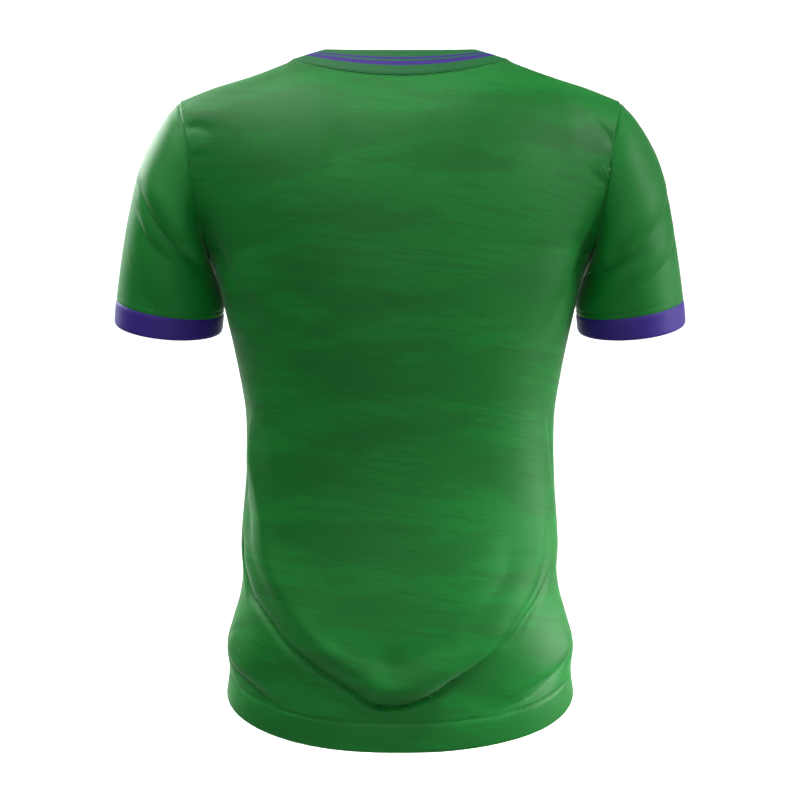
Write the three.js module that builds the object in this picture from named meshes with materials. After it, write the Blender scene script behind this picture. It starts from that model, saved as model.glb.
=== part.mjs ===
// A short-sleeved football jersey, filled out as it is worn, with nobody in it.
// Millimetres, +Z up. The front faces -Y and the wearer's left is +X.
// The origin is level with the points where the shoulder seams meet the collar.
import * as THREE from "three";

// Thickness of the pieces, and how far their edges are drawn back from a seam
const clothWall = 1.6;
const ribWall = 2.4;
const cuffWall = 2.4;
const panelDrawBack = 0.16;
const tubeDrawBack = 0.24;
const longestMitre = 2; // the most that a wall is thickened where two pieces meet at a fold

// Rows and columns of points in the pieces
const neckColumns = 6; // from the centre to the end of the collar
const shoulderColumns = 8; // from the collar to the armhole
const yokeRows = 12; // from the shoulder seam down to the armpit
const bodyRows = 26; // from the armpit down to the hem
const sleeveRows = 11;
const cuffRows = 2;
const collarRows = 4;
const hemCrowding = 1.25; // over 1 sets the body's rows closer together towards the hem
const halfColumns = neckColumns + shoulderColumns;

// Body sections below the armpit: drop is the distance below the origin
const bodySections = [
  { drop: 200, halfWidth: 187.5, back: 117, front: 110 },
  { drop: 226, halfWidth: 182.5, back: 115.5, front: 112 },
  { drop: 253, halfWidth: 176.6, back: 112.5, front: 112 },
  { drop: 294, halfWidth: 167.5, back: 107, front: 110 },
  { drop: 325, halfWidth: 161.4, back: 102, front: 107 },
  { drop: 356, halfWidth: 156.5, back: 98, front: 104 },
  { drop: 390, halfWidth: 155.3, back: 95.5, front: 102 },
  { drop: 427, halfWidth: 156.3, back: 95, front: 101 },
  { drop: 468, halfWidth: 159.2, back: 98, front: 102 },
  { drop: 490, halfWidth: 160, back: 101, front: 103 },
  { drop: 517, halfWidth: 158.5, back: 105, front: 105 },
  { drop: 540, halfWidth: 161.5, back: 108, front: 106 },
  { drop: 560, halfWidth: 167.5, back: 110, front: 108 },
  { drop: 580, halfWidth: 173.2, back: 112, front: 110 },
  { drop: 594, halfWidth: 174.6, back: 112, front: 110 },
  { drop: 616, halfWidth: 172, back: 111, front: 109 },
  { drop: 640, halfWidth: 174.6, back: 113, front: 111 },
  { drop: 670, halfWidth: 175, back: 114, front: 112 },
];
const sectionSquareness = 2.3; // 2 is an ellipse, more is boxier
const armpit = { drop: 200, flare: 7.5, fade: 13 }; // the side seam flares out into the armpit
const hem = { sideDrop: 635, backFall: 34.3, frontFall: 18, roundness: 1.12 };

// The shoulder seam, from the collar out to the armhole
const shoulderSeam = [
  { across: 111.5, height: 0 },
  { across: 124, height: -7.8 },
  { across: 136.7, height: -14.6 },
  { across: 150, height: -19.3 },
  { across: 163, height: -22.6 },
  { across: 178, height: -26 },
  { across: 190.7, height: -30.2 },
  { across: 209, height: -37.4 },
  { across: 222.5, height: -45.4 },
];

// How the cloth runs over the shoulder blades and the chest, up to the shoulder seam. The leans
// and rises are the steepness of its depth and height where it starts and ends, in millimetres.
const yoke = {
  startRise: 1.35, startRiseAtSide: 0.3, tipSpread: 12, seamRise: 19,
  back: { startLean: 215, endLean: 245, endLeanAtCentre: 150, endRiseAtCentre: 0.8 },
  front: { startLean: 205, endLean: 215, endLeanAtCentre: 65, endRiseAtCentre: 0.95 },
};

// The collar's seam and its top edge, each an oval that dips at the back and the front
const neckSeam = {
  halfWidth: 111.5, sideY: -2, sideZ: 0,
  back: { reach: 60, fall: 30.4, power: 1.75 }, front: { reach: 84, fall: 90, power: 1.5 },
};
const collarTop = {
  halfWidth: 74, sideY: -3, sideZ: 13.2,
  back: { reach: 43, fall: 13.6, power: 1.05 }, front: { reach: 60, fall: 74, power: 1.4 },
};
const collarBulge = 0.4;

// Sleeve rings from the armhole to the cuff: way runs from 0 at the seam to 1 at the cuff.
// Each ring has an outermost and an innermost point, its depth behind and in front, how far
// its sides lie inward (bow), how much lower its back is than its front (tilt), and its shift.
const sleeveRings = [
  { way: 0, outX: 223, outZ: -44.4, inX: 195, inZ: -200,
    back: 62, front: 58, bow: 7, tilt: 0, shift: 0 },
  { way: 0.1, outX: 236.5, outZ: -59, inX: 194.6, inZ: -205,
    back: 64.5, front: 61, bow: 5, tilt: 0, shift: 0 },
  { way: 0.25, outX: 252.5, outZ: -84, inX: 191.8, inZ: -212,
    back: 66.5, front: 63, bow: 3, tilt: 2, shift: -1 },
  { way: 0.42, outX: 266, outZ: -115, inX: 188.4, inZ: -221,
    back: 67, front: 64, bow: 1, tilt: 5, shift: -3 },
  { way: 0.6, outX: 275.8, outZ: -155, inX: 184.8, inZ: -232,
    back: 65.5, front: 63, bow: 0, tilt: 9, shift: -6 },
  { way: 0.8, outX: 284, outZ: -200, inX: 181.8, inZ: -246,
    back: 63, front: 61, bow: 0, tilt: 12, shift: -9 },
  { way: 1, outX: 290, outZ: -239, inX: 182.4, inZ: -258,
    back: 60.5, front: 59.5, bow: 0, tilt: 15, shift: -12 },
  { way: 1.1, outX: 292.6, outZ: -261, inX: 184.6, inZ: -275.5,
    back: 60.5, front: 59.5, bow: 0, tilt: 17.5, shift: -15 },
];
const cuffEnd = 1.1;
const seamTurn = 0.15; // where the shoulder seam meets the armhole, in radians behind its top

// The largest folds, with points across from the centre line (towards the wearer's left) and
// below the origin, as seen from behind or in front. Each is a trough of this depth and width
// with a lip of cloth beside it on its upper side; a ridge has a depth with a minus.
const backFolds = [
  { depth: 7, lip: 4.5, width: 14,
    points: [[152, 521], [122, 563], [84, 586], [49, 606], [22, 628], [3, 632],
      [-15, 628], [-50, 608], [-95, 581], [-127, 553], [-145, 526], [-152, 512]] },
  { depth: 4, lip: 2.5, width: 11, points: [[166, 587], [146, 614], [110, 633], [87, 639]] },
  { depth: 4, lip: 3.5, width: 12,
    points: [[-165, 562], [-161, 583], [-148, 603], [-122, 619], [-84, 636]] },
  { depth: -3, lip: 0, width: 15, points: [[148, 376], [139, 433], [124, 490], [102, 534], [66, 570]] },
];
const frontFolds = [
  { depth: 5.5, lip: 4, width: 15,
    points: [[-150, 506], [-122, 548], [-72, 584], [-18, 598], [42, 582], [88, 549]] },
  { depth: 4, lip: 3, width: 13, points: [[160, 566], [126, 602], [72, 624], [14, 630]] },
  { depth: 3.5, lip: 2, width: 16, points: [[164, 196], [134, 232], [86, 258]] },
  { depth: 3, lip: 2, width: 15, points: [[-166, 190], [-130, 234], [-92, 268]] },
];
const sleeveFolds = {
  left: {
    back: [
      { depth: 4, lip: 3, width: 10, points: [[259, 121], [252, 145], [232, 180], [206, 200]] },
      { depth: 3, lip: 2, width: 11, points: [[263, 160], [246, 189], [216, 216]] },
    ],
    front: [{ depth: 3.5, lip: 2.5, width: 9, points: [[255, 120], [240, 163], [211, 190]] }],
  },
  right: {
    back: [
      { depth: 4, lip: 3, width: 10, points: [[-262, 126], [-253, 149], [-230, 182], [-203, 202]] },
      { depth: 3, lip: 2, width: 11, points: [[-271, 170], [-257, 192], [-240, 209], [-208, 236]] },
    ],
    front: [{ depth: 3, lip: 2.5, width: 10, points: [[-258, 112], [-243, 152], [-214, 182]] }],
  },
};
const lipReach = 1.7; // how far a lip's crest lies above its trough, in widths

const cloth = { green: 0x2f7a47, sleeveGreen: 0x2c7a44, purple: 0x4a3296, rib: 0x2f8048 };

// The value of one column at a place between a table's rows, on a smooth curve
function smoothAt(table, key, column, at) {
  const last = table.length - 1;
  let i = 0;
  while (i < last - 1 && at > table[i + 1][key]) i++;
  const slope = (k) => {
    const low = table[Math.max(k - 1, 0)];
    const high = table[Math.min(k + 1, last)];
    return (high[column] - low[column]) / (high[key] - low[key]);
  };
  const from = table[i];
  const to = table[i + 1];
  const span = to[key] - from[key];
  const t = (at - from[key]) / span;
  return hermite(from[column], slope(i) * span, to[column], slope(i + 1) * span, t);
}

function hermite(from, fromSlope, to, toSlope, t) {
  const t2 = t * t;
  const t3 = t2 * t;
  return (
    (2 * t3 - 3 * t2 + 1) * from + (t3 - 2 * t2 + t) * fromSlope +
    (3 * t2 - 2 * t3) * to + (t3 - t2) * toSlope
  );
}

const smoothstep = (low, high, value) => THREE.MathUtils.smoothstep(value, low, high);

// A point of the collar's seam or top edge: fromCentre is 0 at the centre line and 1 at the side
function ovalPoint(oval, isBack, fromCentre) {
  const side = isBack ? oval.back : oval.front;
  const angle = (fromCentre * Math.PI) / 2;
  const inward = Math.cos(angle);
  return new THREE.Vector3(
    oval.halfWidth * Math.sin(angle),
    oval.sideY + (isBack ? 1 : -1) * side.reach * inward,
    oval.sideZ - side.fall * inward ** side.power,
  );
}

// A point of a sleeve ring: turn is 0 on top and pi under the arm, plus behind and minus in front
function sleevePoint(way, turn) {
  const ring = (column) => smoothAt(sleeveRings, "way", column, way);
  const cos = Math.cos(turn);
  const sin = Math.sin(turn);
  return new THREE.Vector3(
    (ring("outX") + ring("inX")) / 2 + ((ring("outX") - ring("inX")) / 2) * cos - ring("bow") * sin * sin,
    ring(sin > 0 ? "back" : "front") * sin + ring("shift"),
    (ring("outZ") + ring("inZ")) / 2 + ((ring("outZ") - ring("inZ")) / 2) * cos - ring("tilt") * sin,
  );
}

// The turn on the armhole of a yoke row: down is 0 at the shoulder seam and 1 at the armpit
function armholeTurn(isBack, down) {
  return THREE.MathUtils.lerp(seamTurn, isBack ? Math.PI : -Math.PI, down);
}

// A point of the body below the armpit: side runs from 0 at the centre line to 1 at the side seam
function bodyPoint(isBack, side, down) {
  const angle = (side * Math.PI) / 2;
  const power = 2 / sectionSquareness;
  const fall = isBack ? hem.backFall : hem.frontFall;
  const hemDrop = hem.sideDrop + fall * Math.max(Math.cos(angle), 0) ** hem.roundness;
  const drop = armpit.drop + (hemDrop - armpit.drop) * down;
  const depth = smoothAt(bodySections, "drop", isBack ? "back" : "front", drop);
  const flare = armpit.flare * Math.exp((armpit.drop - drop) / armpit.fade) * side ** 6;
  return new THREE.Vector3(
    smoothAt(bodySections, "drop", "halfWidth", drop) * Math.sin(angle) ** power + flare,
    (isBack ? 1 : -1) * depth * Math.max(Math.cos(angle), 0) ** power,
    -drop,
  );
}

// A point of the top edge of a panel: the collar's seam, then the shoulder seam
function panelTop(isBack, side) {
  const neckShare = neckColumns / halfColumns;
  if (side <= neckShare) return ovalPoint(neckSeam, isBack, side / neckShare);
  const out = (side - neckShare) / (1 - neckShare);
  const across = THREE.MathUtils.lerp(neckSeam.halfWidth, shoulderSeam.at(-1).across, out);
  const height = smoothAt(shoulderSeam, "across", "height", across);
  const tip = sleevePoint(0, seamTurn);
  const atTip = smoothstep(0.8, 1, out);
  return new THREE.Vector3(
    THREE.MathUtils.lerp(across, tip.x, atTip),
    THREE.MathUtils.lerp(neckSeam.sideY, tip.y, out),
    THREE.MathUtils.lerp(height, tip.z, atTip),
  );
}

// The top edge with its corner at the collar rounded off, which the cloth below it follows
function easedTop(isBack, side) {
  const eased = new THREE.Vector3();
  const reach = 0.16; // to either side, as a share of the half width
  const samples = 9;
  for (let k = 0; k < samples; k++) {
    const at = side + reach * ((2 * k) / (samples - 1) - 1);
    const inside = Math.min(Math.abs(at), 2 - Math.abs(at));
    const point = panelTop(isBack, inside);
    if (at < 0) point.x *= -1;
    if (at > 1) point.multiplyScalar(-1).addScaledVector(panelTop(isBack, 1), 2);
    eased.addScaledVector(point, 1 / samples);
  }
  return eased;
}

// A point of the yoke, between the armpit's level and the top edge: up runs from 0 to 1
function yokePoint(isBack, side, up) {
  const sign = isBack ? 1 : -1;
  const low = bodyPoint(isBack, side, 0);
  const rise = low.clone().sub(bodyPoint(isBack, side, 0.01));
  rise.divideScalar(rise.z);
  const high = easedTop(isBack, side);
  const height = high.z - low.z;
  const shape = isBack ? yoke.back : yoke.front;
  const atArmhole = smoothstep(0.6, 1, side);
  const atCentre = 1 - smoothstep(0, 0.6, side);
  const lowRise = height * (yoke.startRise + yoke.startRiseAtSide * side) * (1 - atArmhole);
  const lowLean = sign * shape.startLean * side ** 3;
  const highLean = sign * THREE.MathUtils.lerp(shape.endLean, shape.endLeanAtCentre, atCentre);
  const highRise = THREE.MathUtils.lerp(sign * yoke.seamRise, height * shape.endRiseAtCentre, atCentre);
  const point = new THREE.Vector3(
    hermite(low.x, rise.x * lowRise, high.x, yoke.tipSpread * side, up),
    hermite(low.y, rise.y * lowRise + lowLean, high.y, -highLean, up),
    hermite(low.z, lowRise, high.z, highRise, up),
  );
  point.addScaledVector(panelTop(isBack, side).sub(high), up ** 5);
  // The outer columns bend onto the armhole
  const seam = sleevePoint(0, armholeTurn(isBack, 1 - up));
  return point.lerp(seam, smoothstep(0.5, 1, side) ** 3);
}

function panelGrid(isBack) {
  const grid = [];
  for (let row = 0; row <= yokeRows + bodyRows; row++) {
    const points = [];
    for (let column = -halfColumns; column <= halfColumns; column++) {
      const side = Math.abs(column) / halfColumns;
      const point =
        row < yokeRows
          ? yokePoint(isBack, side, 1 - row / yokeRows)
          : bodyPoint(isBack, side, 1 - (1 - (row - yokeRows) / bodyRows) ** hemCrowding);
      if (column < 0) point.x *= -1;
      points.push(point);
    }
    grid.push(isBack ? points : points.reverse());
  }
  return grid;
}

// Angles round the armhole that match the yoke's rows, back first and then the front
function ringPoints(way) {
  const points = [];
  for (let row = 0; row < yokeRows; row++) {
    points.push(sleevePoint(way, armholeTurn(true, row / yokeRows)));
  }
  for (let row = yokeRows; row > 0; row--) {
    points.push(sleevePoint(way, armholeTurn(false, row / yokeRows)));
  }
  return points;
}

function tubeGrid(from, to, rows, isLeft) {
  const grid = [];
  for (let row = 0; row <= rows; row++) {
    const points = ringPoints(from + ((to - from) * row) / rows);
    if (!isLeft) points.forEach((point) => (point.x *= -1));
    grid.push(isLeft ? points.reverse() : points);
  }
  return grid;
}

function collarGrid() {
  const grid = [];
  for (let row = 0; row <= collarRows; row++) {
    const up = 1 - row / collarRows;
    const points = [];
    const add = (isBack, column) => {
      const fromCentre = Math.abs(column) / neckColumns;
      const low = ovalPoint(neckSeam, isBack, fromCentre);
      const high = ovalPoint(collarTop, isBack, fromCentre);
      const point = low.lerp(high, up);
      point.z += collarBulge * Math.sin(Math.PI * up);
      if (column < 0) point.x *= -1;
      points.push(point);
    };
    for (let column = -neckColumns; column < neckColumns; column++) add(true, column);
    for (let column = neckColumns; column > -neckColumns; column--) add(false, column);
    grid.push(points);
  }
  return grid;
}

// How far a point is moved outward by a list of folds
function foldHeight(folds, point) {
  let height = 0;
  for (const { depth, lip, width, line } of folds) {
    let nearest = Infinity;
    let index = 0;
    line.forEach((place, i) => {
      const distance = Math.hypot(point.x - place.x, -point.z - place.y);
      if (distance < nearest) {
        nearest = distance;
        index = i;
      }
    });
    const before = line[Math.max(index - 1, 0)];
    const after = line[Math.min(index + 1, line.length - 1)];
    const below = -point.z - line[index].y;
    const beside = point.x - line[index].x;
    const turn = (after.x - before.x) * below - (after.y - before.y) * beside;
    const signed = nearest * Math.sign(turn * (after.x - before.x)); // plus below the fold
    const ends = smoothstep(0, 0.22, Math.min(index, line.length - 1 - index) / (line.length - 1));
    const crest = (signed + lipReach * width) / (1.1 * width);
    height += ends * (lip * Math.exp(-crest * crest) - depth * Math.exp(-((nearest / width) ** 2)));
  }
  return height;
}

function withLines(folds) {
  return folds.map((fold) => {
    const points = fold.points.map(([across, drop]) => new THREE.Vector3(across, drop, 0));
    return { ...fold, line: new THREE.CatmullRomCurve3(points).getPoints(60) };
  });
}

// Moves a grid's points along the outward directions by the folds, and leaves its seams alone
function addFolds({ grid, closed, back, front }, directions) {
  const lists = { back: withLines(back ?? []), front: withLines(front ?? []) };
  const lastRow = grid.length - 1;
  const lastColumn = grid[0].length - 1;
  return grid.map((points, row) => points.map((point, column) => {
    const direction = directions.get(keyOf(point)).clone().normalize();
    const fromEnds = closed ? smoothstep(0.8, 4, Math.min(row, lastRow - row)) : smoothstep(0, 2, row);
    const fromSides = closed ? 1 : smoothstep(0, 2, Math.min(column, lastColumn - column));
    const isBack = closed ? point.y > sleeveRings[0].shift : back !== undefined;
    const facing = closed ? smoothstep(0.15, 0.6, Math.abs(direction.y)) : 1;
    const height = foldHeight(lists[isBack ? "back" : "front"], point);
    return point.clone().addScaledVector(direction, fromEnds * fromSides * facing * height);
  }));
}

const pieces = [
  { name: "back_panel", group: "body", grid: panelGrid(true), closed: false, wall: clothWall,
    colour: cloth.green, back: backFolds },
  { name: "front_panel", group: "body", grid: panelGrid(false), closed: false, wall: clothWall,
    colour: cloth.green, front: frontFolds },
  { name: "collar_rib", group: "collar", grid: collarGrid(), closed: true, wall: ribWall,
    colour: cloth.rib },
];
for (const hand of ["left", "right"]) {
  const isLeft = hand === "left";
  pieces.push({
    name: "sleeve_" + hand, group: "sleeve", grid: tubeGrid(0, 1, sleeveRows, isLeft),
    closed: true, wall: clothWall, colour: cloth.sleeveGreen, ...sleeveFolds[hand],
  });
  pieces.push({
    name: "cuff_" + hand, group: "cuff", grid: tubeGrid(1, cuffEnd, cuffRows, isLeft),
    closed: true, wall: cuffWall, colour: cloth.purple,
  });
}

const keyOf = (point) => point.toArray().map((value) => Math.round(value * 100)).join();

// Adds a vector to the sum kept for a point
function addTo(sums, key, vector) {
  if (!sums.has(key)) sums.set(key, new THREE.Vector3());
  sums.get(key).add(vector);
}

// Outward directions at every point, shared by the pieces that meet there. A longer one than 1
// sets the wall's thickness where a sleeve, cuff or collar meets its neighbour at an angle.
function outwardDirections() {
  const groups = new Map();
  for (const { grid, closed, group } of pieces) {
    if (!groups.has(group)) groups.set(group, new Map());
    const width = grid[0].length;
    for (let row = 0; row + 1 < grid.length; row++) {
      for (let column = 0; column < (closed ? width : width - 1); column++) {
        const next = (column + 1) % width;
        const corners = [grid[row][column], grid[row][next], grid[row + 1][next], grid[row + 1][column]];
        const normal = new THREE.Vector3().crossVectors(
          corners[3].clone().sub(corners[1]), corners[2].clone().sub(corners[0]),
        ).negate();
        for (const corner of corners) addTo(groups.get(group), keyOf(corner), normal);
      }
    }
  }
  const sums = new Map();
  const counts = new Map();
  for (const group of groups.values()) {
    for (const [key, sum] of group) {
      addTo(sums, key, sum.normalize());
      counts.set(key, (counts.get(key) ?? 0) + 1);
    }
  }
  for (const [key, sum] of sums) sum.setLength(Math.min(counts.get(key) / sum.length(), longestMitre));
  return sums;
}

// The piece's outer points with its edges drawn back from the seams
function drawnBack(grid, closed) {
  const lastRow = grid.length - 1;
  const lastColumn = grid[0].length - 1;
  return grid.map((points, row) => points.map((point, column) => {
    const moved = point.clone();
    const length = closed ? tubeDrawBack : panelDrawBack;
    const draw = (towards) => moved.add(towards.clone().sub(point).setLength(length));
    if (row === 0) draw(grid[1][column]);
    if (row === lastRow) draw(grid[row - 1][column]);
    if (!closed && column === 0) draw(grid[row][1]);
    if (!closed && column === lastColumn) draw(grid[row][column - 1]);
    return moved;
  }));
}

// A closed solid: the outer points, the same points moved in by the wall, and the edges between
function wallSolid({ grid, closed, wall }, directions) {
  const outer = drawnBack(grid, closed);
  const rows = grid.length;
  const width = grid[0].length;
  const positions = [];
  outer.forEach((points) => points.forEach((point) => positions.push(...point.toArray())));
  outer.forEach((points, row) => points.forEach((point, column) => {
    const direction = directions.get(keyOf(grid[row][column]));
    positions.push(...point.clone().addScaledVector(direction, -wall).toArray());
  }));
  const index = [];
  const quad = (a, b, c, d) => index.push(a, c, b, a, d, c);
  const turnedQuad = (a, b, c, d) => quad(b, c, d, a);
  const farOut = (vertex) => Math.abs(positions[vertex * 3]);
  // Both pieces at a seam split the edge between two points the same way
  const edge = (a, b, c, d) => (farOut(a) >= farOut(b) ? quad : turnedQuad)(a, b, c, d);
  const at = (row, column, layer) => layer * rows * width + row * width + (column % width);
  for (let column = 0; column < (closed ? width : width - 1); column++) {
    for (let row = 0; row + 1 < rows; row++) {
      // The split of each face mirrors the one on the other half of the garment
      const face = farOut(at(row, column, 0)) <= farOut(at(row, column + 1, 0)) ? quad : turnedQuad;
      face(at(row, column, 0), at(row + 1, column, 0), at(row + 1, column + 1, 0), at(row, column + 1, 0));
      face(at(row, column, 1), at(row, column + 1, 1), at(row + 1, column + 1, 1), at(row + 1, column, 1));
    }
    edge(at(0, column, 0), at(0, column + 1, 0), at(0, column + 1, 1), at(0, column, 1));
    const end = rows - 1;
    edge(at(end, column + 1, 0), at(end, column, 0), at(end, column, 1), at(end, column + 1, 1));
  }
  if (!closed) {
    const end = width - 1;
    for (let row = 0; row + 1 < rows; row++) {
      edge(at(row + 1, 0, 0), at(row, 0, 0), at(row, 0, 1), at(row + 1, 0, 1));
      edge(at(row, end, 0), at(row + 1, end, 0), at(row + 1, end, 1), at(row, end, 1));
    }
  }
  const geometry = new THREE.BufferGeometry();
  geometry.setAttribute("position", new THREE.Float32BufferAttribute(positions, 3));
  geometry.setIndex(index);
  geometry.computeVertexNormals();
  return geometry;
}

const smoothDirections = outwardDirections();
for (const piece of pieces) piece.grid = addFolds(piece, smoothDirections);

const jersey = new THREE.Group();
const directions = outwardDirections();
for (const piece of pieces) {
  const material = new THREE.MeshStandardMaterial({ color: piece.colour, roughness: 0.75, metalness: 0 });
  const mesh = new THREE.Mesh(wallSolid(piece, directions), material);
  mesh.name = piece.name;
  jersey.add(mesh);
}

export default jersey;
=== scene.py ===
# A short-sleeved football jersey, filled out as it is worn, with nobody in it.
# The shapes are worked out in millimetres and made in metres; the front faces -Y.
import math

import bpy
import numpy as np
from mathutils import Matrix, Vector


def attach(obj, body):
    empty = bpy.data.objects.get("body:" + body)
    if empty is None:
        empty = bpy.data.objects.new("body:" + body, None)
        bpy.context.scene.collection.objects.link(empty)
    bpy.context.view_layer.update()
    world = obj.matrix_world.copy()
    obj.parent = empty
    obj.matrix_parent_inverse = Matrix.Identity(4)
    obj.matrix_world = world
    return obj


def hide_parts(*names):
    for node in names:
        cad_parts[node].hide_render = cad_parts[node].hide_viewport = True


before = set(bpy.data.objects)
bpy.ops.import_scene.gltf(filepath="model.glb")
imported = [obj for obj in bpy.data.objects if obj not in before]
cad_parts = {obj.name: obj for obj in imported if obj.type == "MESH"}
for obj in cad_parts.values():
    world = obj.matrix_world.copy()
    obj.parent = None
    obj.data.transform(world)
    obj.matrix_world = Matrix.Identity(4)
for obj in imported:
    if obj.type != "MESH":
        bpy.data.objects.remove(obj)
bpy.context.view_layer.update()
print("stage: frame loaded")

millimetre = 0.001

# Rows and columns of the solids, and how much finer the pieces are drawn
detail = {
    "neckColumns": 6, "shoulderColumns": 8, "yokeRows": 12, "bodyRows": 26, "sleeveRows": 12,
    "finer": 8,          # steps drawn for each step of the solids
    "innerEvery": 2,     # the cloth's inner face has every second point
    "cuffRows": 16, "collarRows": 24, "collarFiner": 40,
}

# The body of the garment: the same cut as the solids have
body = {
    # drop below the collar point, half the width, depth behind, depth in front
    "sections": [
        (200, 187.5, 117, 110), (226, 182.5, 115.5, 112), (253, 176.6, 112.5, 112),
        (294, 167.5, 107, 110), (325, 161.4, 102, 107), (356, 156.5, 98, 104),
        (390, 155.3, 95.5, 102), (427, 156.3, 95, 101), (468, 159.2, 98, 102),
        (490, 160, 101, 103), (517, 158.5, 105, 105), (540, 161.5, 108, 106),
        (560, 167.5, 110, 108), (580, 173.2, 112, 110), (594, 174.6, 112, 110),
        (616, 172, 111, 109), (640, 174.6, 113, 111), (670, 175, 114, 112),
    ],
    "squareness": 2.3, "armpitDrop": 200, "armpitFlare": 7.5, "armpitFade": 13,
    "hemSideDrop": 635, "hemBackFall": 34.3, "hemFrontFall": 18, "hemRoundness": 1.12,
    "hemCrowding": 1.25,     # gathers the rows towards the hem
    # the shoulder seam: across, height
    "shoulder": [
        (111.5, 0), (124, -7.8), (136.7, -14.6), (150, -19.3), (163, -22.6), (178, -26),
        (190.7, -30.2), (209, -37.4), (222.5, -45.4),
    ],
    "startRise": 1.35, "startRiseAtSide": 0.3, "tipSpread": 12, "seamRise": 19,
    "backLeans": (215, 245, 150, 0.8),    # at the start, the end, the end's centre; end's rise
    "frontLeans": (205, 215, 65, 0.95),
    "thickness": 0.9, "hemThickness": 1.7, "hemBand": 26.2, "hemLift": 0.5,
}

collar = {
    # half width, side's Y, side's Z, then reach, fall and power behind and in front
    "seam": (111.5, -2, 0, (60, 30.4, 1.75), (84, 90, 1.5)),
    "top": (74, -3, 13.2, (43, 13.6, 1.05), (60, 74, 1.4)),
    "bulge": 0.4, "thickness": 1.7, "ribs": 240, "ribHeight": 0.32, "lift": 0.4,
    "layoutHeight": 1000,    # the band's height in its own layout of the cloth
}

sleeve = {
    # way from armhole to cuff, outermost x z, innermost x z, behind, in front, bow, tilt, shift
    "rings": [
        (0, 223, -44.4, 195, -200, 62, 58, 7, 0, 0),
        (0.1, 236.5, -59, 194.6, -205, 64.5, 61, 5, 0, 0),
        (0.25, 252.5, -84, 191.8, -212, 66.5, 63, 3, 2, -1),
        (0.42, 266, -115, 188.4, -221, 67, 64, 1, 5, -3),
        (0.6, 275.8, -155, 184.8, -232, 65.5, 63, 0, 9, -6),
        (0.8, 284, -200, 181.8, -246, 63, 61, 0, 12, -9),
        (1, 290, -239, 182.4, -258, 60.5, 59.5, 0, 15, -12),
        (1.1, 292.6, -261, 184.6, -275.5, 60.5, 59.5, 0, 17.5, -15),
    ],
    "seamTurn": 0.15, "cuffEnd": 1.1, "thickness": 0.9, "cuffThickness": 1.7, "cuffLift": 0.45,
    "stitchAboveCuff": 5.5,
}

# A fold runs through points, from left to right as its face is seen. A point is its place towards
# the wearer's left and its drop below the collar point. depth, above, below and sharp shape the
# trough, lip is the height of the ridge above it and rim of one below it, lipAt and rimAt are how
# far off their crests are, and strength, point by point, is a share of it all.
def crease(face, depth, lip, above, below, sharp, points, strength=None, lipAt=1, rim=0, rimAt=1):
    if strength is None:
        strength = [0.2] + [1] * (len(points) - 2) + [0.2]
    return {"face": face, "depth": depth, "lip": lip, "above": above, "below": below, "sharp": sharp,
            "points": points, "strength": strength, "lipAt": lipAt, "rim": rim, "rimAt": rimAt}


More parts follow.
